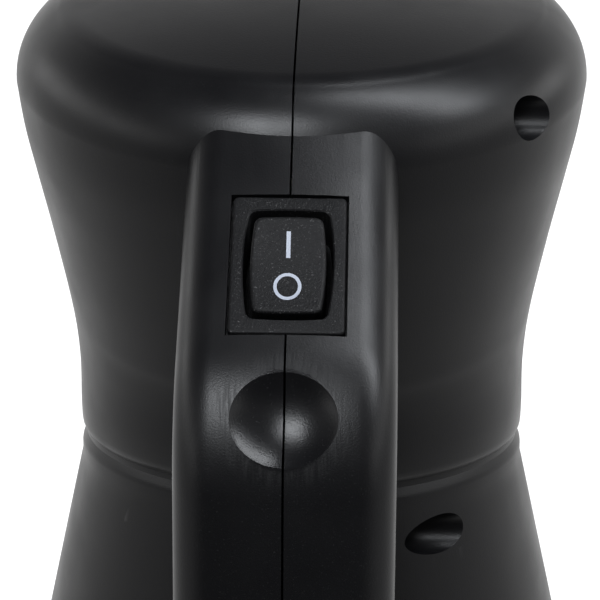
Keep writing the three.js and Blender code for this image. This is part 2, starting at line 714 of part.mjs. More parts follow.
function armShape(pivot) {
  const shape = new THREE.Shape();
  shape.absarc(0, pivot.y, 6, -Math.PI / 2, Math.PI / 2, false);
  shape.lineTo(pivot.x, pivot.y + 7.5);
  shape.lineTo(pivot.x - 16, pivot.y + 4.5);
  shape.lineTo(-78, pivot.y + 4.5);
  shape.lineTo(-78, pivot.y - 4.5);
  shape.lineTo(pivot.x - 16, pivot.y - 4.5);
  shape.lineTo(pivot.x, pivot.y - 7.5);
  return shape;
}

function cutterArm(pivot) {
  const arm = cut(plate(armShape(pivot), 21.1, 23.6),
    column(SHAFT_RADIUS + RUNNING, 20, 30, pivot.x, pivot.y),
    column(2.5 + GAP, 20, 30, 0, pivot.y));
  addPiece('cutter_arm', geometryOf(arm), STEEL);
  const pin = join(column(4.4, 14.4, 16.2, pivot.x, pivot.y), column(SHAFT_RADIUS, 15, 29, pivot.x, pivot.y));
  addPiece('arm_pivot_pin', geometryOf(pin), STEEL);
  const spring = ringColumn(5.6, 3.5, 16.6, 20.7, pivot.x, pivot.y);
  addPiece('arm_spring', geometryOf(spring), STEEL);

  const edge = [[2.5 + RUNNING, 18.2], [5.4, 18.2], [CUTTER_RADIUS, 20.1], [5.4, 20.8], [2.5 + RUNNING, 20.8],
    [2.5 + RUNNING, 18.2]].map(([radius, height]) => new THREE.Vector2(radius, height));
  const wheel = new THREE.LatheGeometry(edge, 36);
  wheel.rotateX(Math.PI / 2);
  wheel.translate(0, pivot.y, 0);
  addPiece('cutter_wheel', geometryOf(solid(wheel)), STEEL);
  const screw = join(column(4.2, 15.8, 17.9, 0, pivot.y), column(2.5, 17, 23.6, 0, pivot.y));
  addPiece('cutter_screw', geometryOf(screw), STEEL);

  const knobShape = new THREE.Shape();
  knobShape.absarc(-74, pivot.y, 8.5, Math.PI / 2, -Math.PI / 2, false);
  knobShape.lineTo(-61, pivot.y - 7);
  knobShape.lineTo(-61, pivot.y + 7);
  const slot = block([-78 - GAP, pivot.y - 4.5 - GAP, 21.1 - GAP], [-50, pivot.y + 4.5 + GAP, 23.6 + GAP]);
  addPiece('lever_knob', geometryOf(cut(plate(knobShape, 17.6, 27.2), slot)), BLACK_PLASTIC);
}

function lidMagnet() {
  const cup = cut(column(6.8, 15, 20, 0, MAGNET_Y), column(5.6, 14, 18.6, 0, MAGNET_Y));
  const stem = join(column(2.02, 19, 32, 0, MAGNET_Y), column(3.4, 31, 32.5, 0, MAGNET_Y));
  addPiece('magnet_cup', geometryOf(join(cup, stem)), STEEL);
  addPiece('lid_magnet', geometryOf(column(5.3, 15.2, 18.3, 0, MAGNET_Y)), MAGNET);
}

// ---------------------------------------------------------------- screws, feet, gland, leads

function fastenersAndTrim() {
  HOUSING_SCREWS.forEach(({ y, z, seat }, i) => {
    const screw = join(crossColumn(2.8, seat + GAP, seat + 2.6, y, z, 16),
      crossColumn(1.5, -7, seat + 1, y, z, 12));
    addPiece(`housing_screw_${i + 1}`, geometryOf(screw), STEEL);
  });
  footPlaces().forEach(([x, y], i) => {
    addPiece(`foot_${i + 1}`, geometryOf(column(3.6, 0, 2.9, x, y)), RUBBER);
  });
  const gland = new THREE.CylinderGeometry(GLAND.radius, GLAND.radius, 12, 24);
  gland.translate(0, GLAND.y, GLAND.z);
  const flange = new THREE.CylinderGeometry(7.6, 7.6, 2.4, 24);
  flange.translate(0, WAIST_RADIUS + 2.6, GLAND.z);
  const hole = new THREE.CylinderGeometry(3.6, 3.6, 30, 20);
  hole.translate(0, GLAND.y, GLAND.z);
  addPiece('cord_gland', geometryOf(cut(join(solid(gland), solid(flange)), solid(hole))), RUBBER);
  lead('lead_mains_to_switch', -1);
  lead('lead_switch_to_motor', 1);
}

// An insulated lead round the motor, from the back of the waist to the switch.
function lead(name, side) {
  const radius = 27.6;
  const turns = [80, 40, 0, -40, -72].map(THREE.MathUtils.degToRad);
  const points = turns.map((angle, i) => new THREE.Vector3(
    side * radius * Math.cos(angle), radius * Math.sin(angle), 126 + i * 7));
  points.push(new THREE.Vector3(side * 5, -36, 158), new THREE.Vector3(side * 5, -42, 158.5));
  const route = new THREE.CatmullRomCurve3(points);
  const section = new THREE.Shape();
  section.absarc(0, 0, 0.9, 0, 2 * Math.PI, false);
  const geometry = new THREE.ExtrudeGeometry(section, { extrudePath: route, steps: 20, curveSegments: 3 });
  addPiece(name, geometryOf(solid(geometry)), WIRE);
}

shells();
rockerSwitch();
motor();
gearTrain();
cuttingHead();
fastenersAndTrim();

// The origin goes to the middle of the footprint, on the surface that the feet stand on.
const footprint = new THREE.Box3().setFromObject(model).getCenter(new THREE.Vector3());
model.position.set(-footprint.x, -footprint.y, 0);

export default model;
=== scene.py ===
"""Looks of an electric can opener with a bell-shaped housing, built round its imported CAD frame."""

import json
import math

import bpy
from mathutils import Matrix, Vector


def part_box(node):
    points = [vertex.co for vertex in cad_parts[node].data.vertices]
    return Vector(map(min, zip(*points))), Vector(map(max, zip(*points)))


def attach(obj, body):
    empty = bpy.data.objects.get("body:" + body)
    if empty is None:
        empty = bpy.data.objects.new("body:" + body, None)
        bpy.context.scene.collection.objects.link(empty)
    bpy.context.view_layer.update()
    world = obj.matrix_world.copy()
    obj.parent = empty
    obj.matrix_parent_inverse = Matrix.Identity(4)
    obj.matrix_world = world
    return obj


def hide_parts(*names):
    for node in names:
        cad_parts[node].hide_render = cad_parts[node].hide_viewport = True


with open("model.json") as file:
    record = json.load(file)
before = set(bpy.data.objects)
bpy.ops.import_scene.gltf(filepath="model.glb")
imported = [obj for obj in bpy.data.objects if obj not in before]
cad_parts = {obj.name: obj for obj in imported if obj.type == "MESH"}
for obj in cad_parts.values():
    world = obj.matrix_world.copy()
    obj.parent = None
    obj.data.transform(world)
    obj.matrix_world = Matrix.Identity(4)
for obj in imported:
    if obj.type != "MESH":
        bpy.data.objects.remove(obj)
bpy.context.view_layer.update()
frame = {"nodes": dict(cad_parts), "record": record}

MM = 0.001


def middle(node):
    low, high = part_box(node)
    return (low + high) / 2


MOTOR_AXIS = middle("rotor_shaft")


def place(x, y, z):
    """Millimetres about the motor axis to metres in the row frame."""
    return Vector((MOTOR_AXIS.x + x * MM, MOTOR_AXIS.y + y * MM, z * MM))


# ---------------------------------------------------------------- camera

PHOTO_AZIMUTH = math.radians(1.75)
PHOTO_ELEVATION = math.radians(25.5)
PHOTO_DISTANCE = 366
PHOTO_LENS = 138
PHOTO_TARGET = (-0.25, 0, 130)


def add_camera():
    data = bpy.data.cameras.new("photo_camera")
    data.lens = PHOTO_LENS
    data.sensor_width = 36
    data.clip_start = 0.01
    camera = bpy.data.objects.new("photo_camera", data)
    bpy.context.scene.collection.objects.link(camera)
    back = Vector((
        math.sin(PHOTO_AZIMUTH) * math.cos(PHOTO_ELEVATION),
        -math.cos(PHOTO_AZIMUTH) * math.cos(PHOTO_ELEVATION),
        math.sin(PHOTO_ELEVATION),
    ))
    camera.location = place(*PHOTO_TARGET) + back * PHOTO_DISTANCE * MM
    camera.rotation_euler = back.to_track_quat("Z", "Y").to_euler()
    bpy.context.scene.camera = camera


# ---------------------------------------------------------------- mesh helpers

def mesh_object(name, points, faces):
    """An object from points in millimetres about the motor axis."""
    data = bpy.data.meshes.new(name)
    data.from_pydata([place(*p) for p in points], [], faces)
    data.update()
    piece = bpy.data.objects.new(name, data)
    bpy.context.scene.collection.objects.link(piece)
    return piece


def ring_average(ring):
    return tuple(sum(p[i] for p in ring) / len(ring) for i in range(3))


def loft(name, rings, start_tip=None, end_tip=None):
    """A closed skin through rings with equal numbers of points, turned to face outwards."""
    count = len(rings[0])
    points = [p for ring in rings for p in ring]
    points += [start_tip or ring_average(rings[0]), end_tip or ring_average(rings[-1])]
    start = len(rings) * count
    last = start - count
    faces = []
    for k in range(count):
        n = (k + 1) % count
        faces.append((start, n, k))
        faces.append((start + 1, last + k, last + n))
        for i in range(len(rings) - 1):
            a = i * count
            faces.append((a + k, a + n, a + count + n, a + count + k))
    piece = mesh_object(name, points, faces)
    if signed_volume(piece.data) < 0:
        piece.data.flip_normals()
    return piece


def signed_volume(data):
    data.calc_loop_triangles()
    total = 0.0
    for triangle in data.loop_triangles:
        a, b, c = (data.vertices[i].co for i in triangle.vertices)
        total += a.dot(b.cross(c))
    return total


def block(name, low, high):
    (x0, y0, z0), (x1, y1, z1) = low, high
    lower = [(x0, y0, z0), (x1, y0, z0), (x1, y1, z0), (x0, y1, z0)]
    upper = [(x, y, z1) for x, y, _ in lower]
    return loft(name, [lower, upper])


def circle(radius, steps, along, centre):
    """A ring of points about an axis letter through a centre."""
    ring = []
    for k in range(steps):
        a = 2 * math.pi * k / steps
        u, v = radius * math.cos(a), radius * math.sin(a)
        offset = {"x": (0, u, v), "y": (u, 0, v), "z": (u, v, 0)}[along]
        ring.append(tuple(c + o for c, o in zip(centre, offset)))
    return ring


def rod(name, radius, along, centre, low, high, steps=48):
    """A cylinder along an axis letter between two positions on that axis."""
    index = "xyz".index(along)
    ends = []
    for value in (low, high):
        point = list(centre)
        point[index] = value
        ends.append(circle(radius, steps, along, point))
    return loft(name, ends)


def keep_result(piece):
    """Applies the piece's modifiers."""
    graph = bpy.context.evaluated_depsgraph_get()
    result = bpy.data.meshes.new_from_object(piece.evaluated_get(graph))
    piece.modifiers.clear()
    old = piece.data
    piece.data = result
    bpy.data.meshes.remove(old)


def discard(piece):
    data = piece.data
    bpy.data.objects.remove(piece)
    bpy.data.meshes.remove(data)


def boolean(piece, operation, *tools):
    for tool in tools:
        modifier = piece.modifiers.new(operation, "BOOLEAN")
        modifier.operation = operation
        modifier.solver = "MANIFOLD"
        modifier.object = tool
        keep_result(piece)
        discard(tool)
    return piece


def copy_of(piece, name):
    twin = bpy.data.objects.new(name, piece.data.copy())
    bpy.context.scene.collection.objects.link(twin)
    return twin


def shade(piece, angle=32):
    piece.data.shade_smooth()
    piece.data.set_sharp_from_angle(angle=math.radians(angle))
    return piece


def finish_piece(piece, material, body, slot, *nodes):
    piece.data.materials.clear()
    piece.data.materials.append(material)
    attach(piece, body)
    if nodes:
        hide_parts(*nodes)
    return piece


# ---------------------------------------------------------------- materials

def new_material(name, color, roughness, metallic=0.0):
    material = bpy.data.materials.new(name)
    material.use_nodes = True
    shader = material.node_tree.nodes["Principled BSDF"]
    shader.inputs["Base Color"].default_value = (*color, 1)
    shader.inputs["Roughness"].default_value = roughness
    shader.inputs["Metallic"].default_value = metallic
    return material, material.node_tree, shader


def noise(tree, scale, detail=2.0, roughness=0.5, stretch=None):
    """A noise texture in the object's own metres."""
    coordinates = tree.nodes.new("ShaderNodeTexCoord")
    texture = tree.nodes.new("ShaderNodeTexNoise")
    texture.inputs["Scale"].default_value = scale
    texture.inputs["Detail"].default_value = detail
    texture.inputs["Roughness"].default_value = roughness
    source = coordinates.outputs["Object"]
    if stretch:
        mapping = tree.nodes.new("ShaderNodeMapping")
        mapping.inputs["Scale"].default_value = stretch
        tree.links.new(source, mapping.inputs["Vector"])
        source = mapping.outputs["Vector"]
    tree.links.new(source, texture.inputs["Vector"])
    return texture.outputs["Fac"]


def spread(tree, source, low, high, to_low, to_high):
    """Maps a value range to another one."""
    node = tree.nodes.new("ShaderNodeMapRange")
    for name, value in zip(("From Min", "From Max", "To Min", "To Max"), (low, high, to_low, to_high)):
        node.inputs[name].default_value = value
    tree.links.new(source, node.inputs["Value"])
    return node.outputs["Result"]


def combine(tree, operation, first, second):
    """A math node on two sockets, or on a socket and a number."""
    node = tree.nodes.new("ShaderNodeMath")
    node.operation = operation
    tree.links.new(first, node.inputs[0])
    if isinstance(second, (int, float)):
        node.inputs[1].default_value = second
    else:
        tree.links.new(second, node.inputs[1])
    return node.outputs["Value"]


def tint(tree, shader, source, dark, light):
    """Base colour between two colours by a 0 to 1 value."""
    ramp = tree.nodes.new("ShaderNodeValToRGB")
    ramp.color_ramp.elements[0].color = (*dark, 1)
    ramp.color_ramp.elements[1].color = (*light, 1)
    tree.links.new(source, ramp.inputs["Fac"])
    tree.links.new(ramp.outputs["Color"], shader.inputs["Base Color"])
    return ramp


def bump(tree, shader, source, strength, distance, under=None):
    node = tree.nodes.new("ShaderNodeBump")
    node.inputs["Strength"].default_value = strength
    node.inputs["Distance"].default_value = distance
    tree.links.new(source, node.inputs["Height"])
    if under:
        tree.links.new(under, node.inputs["Normal"])
    tree.links.new(node.outputs["Normal"], shader.inputs["Normal"])
    return node.outputs["Normal"]


def moulded_plastic(name, color, roughness, specular, grain, sparkle):
    """Black moulded plastic: fine spark-eroded grain, faint gloss patches and pale specks."""
    material, tree, shader = new_material(name, color, roughness)
    shader.inputs["Specular IOR Level"].default_value = specular
    fine = noise(tree, 4200, 2)
    patches = noise(tree, 90, 3)
    rough = spread(tree, patches, 0.3, 0.7, roughness - 0.04, roughness + 0.05)
    tree.links.new(rough, shader.inputs["Roughness"])
    bump(tree, shader, fine, grain, 0.00006)
    specks = noise(tree, 5200, 1)
    mask = spread(tree, specks, 0.66, 0.8, 0, 1)
    pale = tuple(c + sparkle for c in color)
    tint(tree, shader, mask, color, pale)
    return material


def brushed_metal(name, color, roughness, stretch=(60, 60, 2400)):
    material, tree, shader = new_material(name, color, roughness, 1.0)
    lines = noise(tree, 1.0, 3, stretch=stretch)
    rough = spread(tree, lines, 0.3, 0.7, roughness - 0.08, roughness + 0.1)
    tree.links.new(rough, shader.inputs["Roughness"])
    bump(tree, shader, lines, 0.12, 0.00003)
    shade_patches = noise(tree, 140, 3)
    tint(tree, shader, shade_patches, tuple(c * 0.86 for c in color), color)
    return material


def mottled(name, color, roughness, metallic, scale, depth):
    """An even finish with small changes of tone and a light grain."""
    material, tree, shader = new_material(name, color, roughness, metallic)
    patches = noise(tree, scale, 4)
    dark, light = tuple(c * 0.8 for c in color), tuple(min(1, c * 1.12) for c in color)
    tint(tree, shader, patches, dark, light)
    rough = spread(tree, patches, 0.3, 0.7, roughness - 0.05, roughness + 0.07)
    tree.links.new(rough, shader.inputs["Roughness"])
    bump(tree, shader, noise(tree, scale * 8, 2), 0.2, depth)
    return material


HOUSING_BLACK = (0.0014, 0.0014, 0.0016)
SWITCH_BLACK = (0.0018, 0.0018, 0.002)
MATERIALS = {
    "housing_plastic": moulded_plastic("black_housing_plastic", HOUSING_BLACK, 0.33, 0.11, 0.3, 0.005),
    "switch_plastic": moulded_plastic("black_switch_plastic", SWITCH_BLACK, 0.5, 0.062, 1.0, 0.04),
    "steel": brushed_metal("brushed_stainless", (0.62, 0.62, 0.63), 0.3),
    "zinc_plate": mottled("zinc_plated_steel", (0.5, 0.51, 0.5), 0.42, 1.0, 300, 0.00002),
    "lamination": mottled("stamped_laminations", (0.12, 0.12, 0.13), 0.5, 1.0, 400, 0.00003),
    "copper": mottled("copper_bars", (0.6, 0.27, 0.15), 0.3, 1.0, 300, 0.00002),
    "brass": mottled("cut_brass", (0.66, 0.5, 0.22), 0.3, 1.0, 300, 0.00002),
    "bronze": mottled("sintered_bronze", (0.42, 0.28, 0.12), 0.5, 1.0, 900, 0.00004),
    "nylon": mottled("natural_nylon", (0.78, 0.76, 0.68), 0.45, 0.0, 200, 0.00002),
    "carbon": mottled("pressed_carbon", (0.03, 0.03, 0.03), 0.7, 0.0, 700, 0.00004),
    "magnet": mottled("ferrite_magnet", (0.06, 0.06, 0.065), 0.6, 0.0, 600, 0.00004),
    "board": mottled("green_laminate", (0.02, 0.12, 0.05), 0.4, 0.0, 300, 0.00002),
    "rubber": mottled("black_rubber", (0.018, 0.018, 0.018), 0.75, 0.0, 500, 0.00005),
    "wire": mottled("red_insulation", (0.25, 0.02, 0.02), 0.4, 0.0, 200, 0.00002),
}
MARK_PAINT = mottled("pale_print", (0.105, 0.115, 0.14), 0.5, 0.0, 900, 0.00002)


# ---------------------------------------------------------------- shape of the housing

HEIGHT = 184
WALL = 2.6
SEAM_GAP = 0.3
GAP = 0.3
DOME_EDGE_RADIUS = 35.8
DOME_RISE = 4
SHOULDER_CENTRE, SHOULDER_REACH, SHOULDER_DROP, SHOULDER_HEIGHT = 30, 13, 11.9, 169.2
GROOVE_RADIUS = 34.8
GROOVE_HEIGHT = 107.6
GROOVE_TILT = math.radians(11)
SKIRT_TOP = 104.2
SKIRT_RADIUS = 35.6
SKIRT_SPREAD = {"side": 0.224, "front": 0.04, "back": 0.12}
RIM_HEIGHT = 1.2
NECK = [(43, 169.2), (42.2, 162.7), (40.8, 155.6), (38.4, 143.9), (36.2, 131.5), (35.4, 122), (35.5, 114)]
BODY_STEPS = 224

HANDLE_WIDTH = 28.8
HANDLE_DEPTH = 23
HANDLE_CORNER = 5.6
HANDLE_CROWN = 0.4
HANDLE_START = (37.8, 176.4)
SWITCH_SLOPE = math.radians(33)
GRIP_SLOPE = math.radians(79)
HANDLE_TOP, HANDLE_KNEE, HANDLE_GRIP, HANDLE_HEEL, HANDLE_BRIDGE = 36.8, 26, 70, 28, 30
KNEE_LENGTH = HANDLE_KNEE * (GRIP_SLOPE - SWITCH_SLOPE)
HEEL_LENGTH = HANDLE_HEEL * (math.pi - GRIP_SLOPE)
SWITCH_ALONG = 24.7
DIMPLE_RADIUS, DIMPLE_DEPTH, DIMPLE_ALONG = 6.65, 1.9, 46.8
BORE_RADIUS = 3.2
SCREWS = [(-26.6, 171.5, 9, 4.6), (-28.8, 104.6, 9, 4.3), (-83, 60, 5, 4.8), (31, 158, 9, 4.6)]


def dome_height(radius):
    sphere = (DOME_EDGE_RADIUS ** 2 + DOME_RISE ** 2) / (2 * DOME_RISE)
    return HEIGHT - sphere + math.sqrt(sphere ** 2 - radius ** 2)


def tilt_at(height):
    span = 24 if height > GROOVE_HEIGHT else 44
    away = abs(height - GROOVE_HEIGHT) / span
    return math.tan(GROOVE_TILT) * max(0, 1 - away ** 2)


def round_level(radius, height):
    return {"side": radius, "front": radius, "back": radius, "height": height}


def skirt_level(height):
    down = SKIRT_TOP - height
    level = {key: SKIRT_RADIUS + down * spread_rate for key, spread_rate in SKIRT_SPREAD.items()}
    return {**level, "height": height}


def body_ring(level, inset=0.0):
    ring = []
    tilt = tilt_at(level["height"])
    for k in range(BODY_STEPS):
        angle = 2 * math.pi * k / BODY_STEPS
        depth = level["back"] if math.sin(angle) > 0 else level["front"]
        x = (level["side"] - inset) * math.cos(angle)
        y = (depth - inset) * math.sin(angle)
        ring.append((x, y, level["height"] - y * tilt))
    return ring


def crown_levels():
    levels = [round_level(r, dome_height(r)) for r in [i * DOME_EDGE_RADIUS / 16 for i in range(1, 17)]]
    start = math.acos((DOME_EDGE_RADIUS - SHOULDER_CENTRE) / SHOULDER_REACH)
    steps = 20
    for i in range(1, steps):
        angle = start * (1 - i / steps)
        radius = SHOULDER_CENTRE + SHOULDER_REACH * math.cos(angle)
        levels.append(round_level(radius, SHOULDER_HEIGHT + SHOULDER_DROP * math.sin(angle)))
    return levels


def spline(points, steps):
    """Evenly counted points on a Catmull-Rom curve through the given ones."""
    def at(i):
        return points[min(max(i, 0), len(points) - 1)]

    result = []
    for s in range(steps + 1):
        t = s / steps * (len(points) - 1)
        i = min(int(t), len(points) - 2)
        w = t - i
        row = []
        for axis in range(2):
            p0, p1, p2, p3 = (at(i + k)[axis] for k in (-1, 0, 1, 2))
            a, b = (p2 - p0) / 2, (p3 - p1) / 2
            cubic, square = 2 * p1 - 2 * p2 + a + b, 3 * p2 - 3 * p1 - 2 * a - b
            row.append(cubic * w ** 3 + square * w ** 2 + a * w + p1)
        result.append(tuple(row))
    return result


def neck_levels():
    return [round_level(r, z) for r, z in spline(NECK, 56)]


def groove_levels():
    """A shallow valley: the bell's edge turns in, a chamfer leads out to the skirt."""
    edges = [(35.5, 112.4), (35.48, 110.8), (35.4, 110), (35.2, 109.5)]
    floor = [(GROOVE_RADIUS + 0.15, 109.1), (GROOVE_RADIUS, 108.8), (GROOVE_RADIUS + 0.03, 108.4)]
    chamfer = [(34.8, 107.9), (35.3, 106.9), (35.5, 106.4), (35.58, 105.9), (SKIRT_RADIUS, SKIRT_TOP)]
    return [round_level(r, z) for r, z in edges + floor + chamfer]


def steps_of(total, count):
    return [total * i / count for i in range(count + 1)]


def skirt_levels(bottom):
    return [skirt_level(SKIRT_TOP + (bottom - SKIRT_TOP) * i / 40) for i in range(1, 41)]


def outer_body():
    levels = crown_levels() + neck_levels() + groove_levels() + skirt_levels(RIM_HEIGHT)
    return loft("outer_body", [body_ring(level) for level in levels], (0, 0, HEIGHT))


def inner_body():
    levels = [{**level, "height": level["height"] - WALL / 2} for level in crown_levels()[16:]]
    top = round_level(DOME_EDGE_RADIUS - 1, dome_height(DOME_EDGE_RADIUS) - WALL)
    levels = [top, *levels, *neck_levels(), round_level(GROOVE_RADIUS, GROOVE_HEIGHT)]
    levels += skirt_levels(-4)[1:]
    return loft("inner_body", [body_ring(level, WALL) for level in levels], (0, 0, HEIGHT - WALL))


# ---------------------------------------------------------------- shape of the handle

def handle_frame(distance):
    """Distance in front of the axis, height and slope of the handle's outer face."""
    pieces = [
        (HANDLE_TOP, 0), (KNEE_LENGTH, HANDLE_KNEE), (HANDLE_GRIP, 0),
        (HEEL_LENGTH, HANDLE_HEEL), (HANDLE_BRIDGE, 0),
    ]
    out, height = HANDLE_START
    slope, left = SWITCH_SLOPE, distance
    for length, radius in pieces:
        step = min(left, length)
        if radius:
            end = slope + step / radius
            out += radius * (math.sin(end) - math.sin(slope))
            height += radius * (math.cos(end) - math.cos(slope))
            slope = end
        else:
            out += step * math.cos(slope)
            height -= step * math.sin(slope)
        left -= step
        if left <= 0:
            break
    return out, height, slope


def on_face(distance, x, uphill, outward):
    """A point given on the handle face, in millimetres about the motor axis."""
    out, height, slope = handle_frame(distance)
    front = out - uphill * math.cos(slope) + outward * math.sin(slope)
    return x, -front, height + uphill * math.sin(slope) + outward * math.cos(slope)


def handle_ring(distance, inset):
    half = HANDLE_WIDTH / 2 - inset
    corner = HANDLE_CORNER - inset * 0.6
    front, back = -inset, inset - HANDLE_DEPTH
    lean = math.atan(2 * HANDLE_CROWN / (half - corner))
    right = math.pi / 2
    corners = [
        (half - corner, front - corner, 0, right - lean),
        (corner - half, front - corner, right + lean, 2 * right),
        (corner - half, back + corner, 2 * right, 3 * right),
        (half - corner, back + corner, 3 * right, 4 * right),
    ]
    ring = []
    for x, z, start, end in corners:
        for turn in steps_of(end - start, 12):
            angle = start + turn
            ring.append(on_face(distance, x + corner * math.cos(angle), 0, z + corner * math.sin(angle)))
        if start == 0:
            edge = half - corner * (1 - math.sin(lean))
            for across in (0.75, 0.5, 0.25, 0, -0.25, -0.5, -0.75):
                rise = HANDLE_CROWN - HANDLE_CROWN * across ** 2
                ring.append(on_face(distance, across * edge, 0, front + rise))
    return ring


def handle_solid(name, inset):
    stations = [-4 if inset else 0, HANDLE_TOP / 2]
    stations += [HANDLE_TOP + s for s in steps_of(KNEE_LENGTH, 36)]
    grip_start = HANDLE_TOP + KNEE_LENGTH
    stations += [grip_start + HANDLE_GRIP / 2]
    stations += [grip_start + HANDLE_GRIP + s for s in steps_of(HEEL_LENGTH, 44)]
    stations += [grip_start + HANDLE_GRIP + HEEL_LENGTH + HANDLE_BRIDGE]
    return loft(name, [handle_ring(s, inset) for s in stations])


def face_block(name, distance, low, high):
    """A block whose sides follow the handle face."""
    (x0, v0, n0), (x1, v1, n1) = low, high
    rings = []
    for n in (n0, n1):
        rings.append([on_face(distance, x, v, n) for x, v in ((x0, v0), (x1, v0), (x1, v1), (x0, v1))])
    return loft(name, rings)


def dimple_tool():
    sphere = (DIMPLE_RADIUS ** 2 + DIMPLE_DEPTH ** 2) / (2 * DIMPLE_DEPTH)
    rings = []
    steps = 96
    turns = [2 * math.pi * k / steps for k in range(steps)]
    for i in range(1, steps):
        tip = math.pi * i / steps
        radius = sphere * math.sin(tip)
        height = sphere - DIMPLE_DEPTH - sphere * math.cos(tip)
        offsets = [(radius * math.cos(a), radius * math.sin(a)) for a in turns]
        rings.append([on_face(DIMPLE_ALONG, x, uphill, height) for x, uphill in offsets])
    return loft("dimple_tool", rings)


# ---------------------------------------------------------------- housing shells

BEZEL_WIDTH, BEZEL_LENGTH, BEZEL_THICKNESS, BEZEL_PROUD = 15, 21, 1.6, 0.25
SWITCH_BODY = (12.8, 18.6, 11)
GEAR_LEDGE = (62.5, 65.7, 8)       # bottom, top, width
HEAD_LEDGE = (26.4, 29.4, 9)
FOOT_LEDGE = (RIM_HEIGHT, 6.2, 13)
GEAR_ROOM_RADIUS = 29.5
CAN_ARCH_RADIUS, CAN_ARCH_Y, CAN_ARCH_TOP = 54, 56, 22
LEVER_WINDOW_BOTTOM, LEVER_WINDOW_TOP = 19.6, 24.6
GLAND_HOLE_RADIUS, FOOT_POCKET_RADIUS, PILOT_RADIUS, HEAD_HOLE_RADIUS = 6.3, 3.9, 1.9, 1.8
PAD_HALF = 8                       # backing of the dimple, inside the shell
RUB_FADE = (0.0095, 0.0075)        # metres from the dimple's middle: none, full
POLISH_FADE = (0.0068, 0.0064)
FEET = ["foot_1", "foot_2", "foot_3", "foot_4"]
HEAD_SCREWS = ["head_screw_1", "head_screw_2", "head_screw_3"]


def local(node):
    """Middle of a CAD node in millimetres about the motor axis."""
    centre = middle(node)
    return (centre.x - MOTOR_AXIS.x) / MM, (centre.y - MOTOR_AXIS.y) / MM, centre.z / MM


def ledge(bottom, top, width):
    level = skirt_level((bottom + top) / 2)
    tool = loft("ledge", [[(x, y, z) for x, y, _ in body_ring(level, 0.5)] for z in (bottom, top)])
    hole = loft("hole", [[(x, y, z) for x, y, _ in body_ring(level, width)] for z in (bottom - 1, top + 1)])
    return boolean(tool, "DIFFERENCE", hole)


def burnish_round_dimple(material):
    """Polishing streaks, rubbed along the handle, on the face outside the thumb dimple."""
    tree = material.node_tree
    shader = tree.nodes["Principled BSDF"]
    coordinates = tree.nodes.new("ShaderNodeTexCoord")
    reach = tree.nodes.new("ShaderNodeVectorMath")
    reach.operation = "DISTANCE"
    reach.inputs[1].default_value = place(*on_face(DIMPLE_ALONG, 0, 0, 0))
    tree.links.new(coordinates.outputs["Object"], reach.inputs[0])
    outside = spread(tree, reach.outputs["Value"], *RUB_FADE, 0, 1)
    inside = spread(tree, reach.outputs["Value"], *POLISH_FADE, 0, 1)
    ring = combine(tree, "SUBTRACT", outside, inside)
    streaks = spread(tree, noise(tree, 1.0, 3, stretch=(3000, 260, 260)), 0.42, 0.62, 0, 1)
    rubbed = combine(tree, "MULTIPLY", ring, streaks)
    plain = shader.inputs["Roughness"].links[0].from_socket
    rubbed_rough = combine(tree, "ADD", plain, combine(tree, "MULTIPLY", rubbed, 0.14))
    polished = combine(tree, "SUBTRACT", rubbed_rough, combine(tree, "MULTIPLY", inside, 0.07))
    tree.links.new(polished, shader.inputs["Roughness"])
    grain = shader.inputs["Normal"].links[0].from_node.outputs["Normal"]
    bump(tree, shader, rubbed, 0.12, 0.00004, grain)


